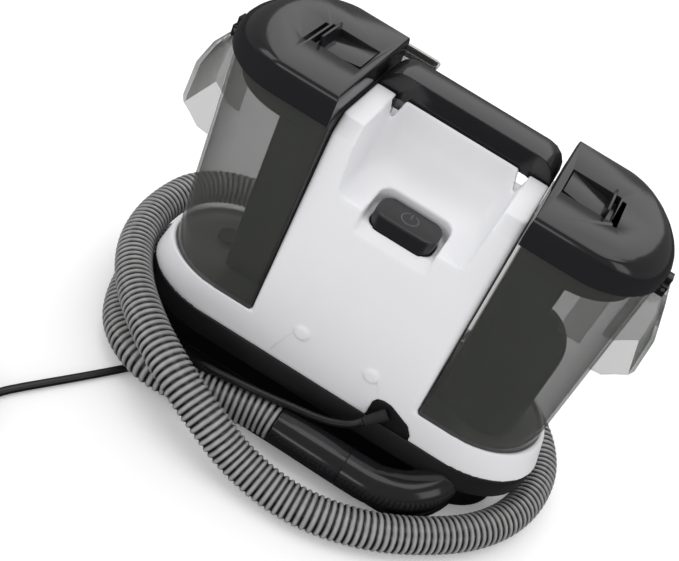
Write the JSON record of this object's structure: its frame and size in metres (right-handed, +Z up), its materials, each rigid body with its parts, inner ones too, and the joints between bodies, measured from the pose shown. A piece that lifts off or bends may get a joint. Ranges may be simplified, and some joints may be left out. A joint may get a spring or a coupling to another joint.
{
  "type": "carpet cleaner machine",
  "caption": "Portable carpet cleaner with lift-out side tanks, hinged lids, a carrying handle, a hand scoop, a wrapped suction hose with a parked hand tool, and a coiled mains cord.",
  "frame": {"origin": "middle of the machine's footprint on the floor, without the hose and the mains cord", "axes": "+Z up, +X to the right seen from the front, front with the power button towards -Y"},
  "size_m": [0.567, 0.4786, 0.333],
  "materials": {
    "white_shell": "semi-gloss moulded shell",
    "black_shell": "fine satin moulding",
    "black_gloss": "polished moulding",
    "smoky_tank": "clear smoke-tinted moulding",
    "clear_plastic": "clear moulding",
    "soft_rubber": "soft matt rubber",
    "steel": "turned or pressed steel",
    "hose_grey": "ribbed flexible hose",
    "cord_black": "smooth flexible cord sheath",
    "board_green": "solder mask",
    "bristle": "stiff bristle"
  },
  "bodies": {
    "machine": {"body_shell": "white_shell", "rear_cover": "white_shell", "tool_cradle": "white_shell", "base_shell": "black_shell", "exhaust_grille": "black_shell", "switch_block": "black_shell", "fan_housing": "black_shell", "dirty_air_duct": "black_shell", "water_pump": "black_shell", "hose_elbow": "black_shell", "tool_collar": "black_shell", "tool_body": "black_shell", "cord_gland": "black_shell", "carry_handle": "black_gloss", "foot_pad_1": "soft_rubber", "foot_pad_2": "soft_rubber", "foot_pad_3": "soft_rubber", "foot_pad_4": "soft_rubber", "motor_cradle": "soft_rubber", "cord_relief": "soft_rubber", "suction_motor": "steel", "handle_screw_1": "steel", "handle_screw_2": "steel", "base_screw_1": "steel", "base_screw_2": "steel", "cover_screw_1": "steel", "cover_screw_2": "steel", "feed_tube": "clear_plastic", "tool_nozzle": "clear_plastic", "circuit_board": "board_green", "tool_brush": "bristle", "suction_hose": "hose_grey", "mains_cord": "cord_black", "mains_cord_coil": "cord_black", "mains_plug": "cord_black"},
    "power_button": {"power_button": "black_gloss"},
    "fan": {"fan_impeller": "steel"},
    "hose_cuff": {"hose_cuff": "black_shell"},
    "tool_trigger": {"tool_trigger": "black_gloss"},
    "left_tank": {"left_tank": "smoky_tank", "left_tank_grip": "clear_plastic", "left_tank_seal": "soft_rubber", "left_hinge_bracket": "black_shell", "left_hinge_pin": "steel", "left_tank_core": "black_shell"},
    "right_tank": {"right_tank": "smoky_tank", "right_tank_grip": "clear_plastic", "right_tank_seal": "soft_rubber", "right_hinge_bracket": "black_shell", "right_hinge_pin": "steel", "intake_core": "black_shell"},
    "left_lid": {"left_lid": "black_gloss", "left_lid_collar": "black_shell"},
    "right_lid": {"right_lid": "black_gloss", "right_lid_collar": "black_shell", "splash_baffle": "clear_plastic"},
    "left_latch": {"left_lid_latch": "black_shell"},
    "right_latch": {"right_lid_latch": "black_shell"},
    "outlet_valve": {"outlet_valve": "soft_rubber"},
    "float_ring": {"float_ring": "white_shell"}
  },
  "joints": [
    {"name": "power_button_press", "type": "slide", "parent": "machine", "child": "power_button", "axis": [0, 0, -1], "range_m": [0, 0.003], "stiffness_N_per_m": 1500, "springref_m": -0.001},
    {"name": "fan_spin", "type": "hinge", "parent": "machine", "child": "fan", "pos_m": [0, 0.0015, 0.165], "axis": [0, 0, 1], "continuous": true},
    {"name": "hose_cuff_swivel", "type": "hinge", "parent": "machine", "child": "hose_cuff", "pos_m": [0.0195, -0.0943, 0.026], "axis": [1, 0, 0], "continuous": true},
    {"name": "tool_trigger_squeeze", "type": "hinge", "parent": "machine", "child": "tool_trigger", "pos_m": [-0.078, 0.1035, 0.245], "axis": [-1, 0, 0], "range_deg": [0, 4], "stiffness_Nm_per_rad": 0.4, "springref_deg": -4.58},
    {"name": "left_tank_lift", "type": "slide", "parent": "machine", "child": "left_tank", "axis": [0, 0, 1], "range_m": [0, 0.04]},
    {"name": "right_tank_lift", "type": "slide", "parent": "machine", "child": "right_tank", "axis": [0, 0, 1], "range_m": [0, 0.04]},
    {"name": "left_lid_hinge", "type": "hinge", "parent": "left_tank", "child": "left_lid", "pos_m": [-0.1915, -0.0035, 0.296], "axis": [0, -1, 0], "range_deg": [0, 100]},
    {"name": "right_lid_hinge", "type": "hinge", "parent": "right_tank", "child": "right_lid", "pos_m": [0.1915, -0.0035, 0.296], "axis": [0, 1, 0], "range_deg": [0, 100]},
    {"name": "left_latch_slide", "type": "slide", "parent": "left_lid", "child": "left_latch", "axis": [-1, 0, 0], "range_m": [0, 0.004], "stiffness_N_per_m": 600, "springref_m": -0.001},
    {"name": "right_latch_slide", "type": "slide", "parent": "right_lid", "child": "right_latch", "axis": [1, 0, 0], "range_m": [0, 0.004], "stiffness_N_per_m": 600, "springref_m": -0.001},
    {"name": "outlet_valve_lift", "type": "slide", "parent": "left_tank", "child": "outlet_valve", "axis": [0, 0, 1], "range_m": [0, 0.004], "stiffness_N_per_m": 500, "springref_m": -0.001},
    {"name": "float_rise", "type": "slide", "parent": "right_tank", "child": "float_ring", "axis": [0, 0, 1], "range_m": [0, 0.02]}
  ]
}
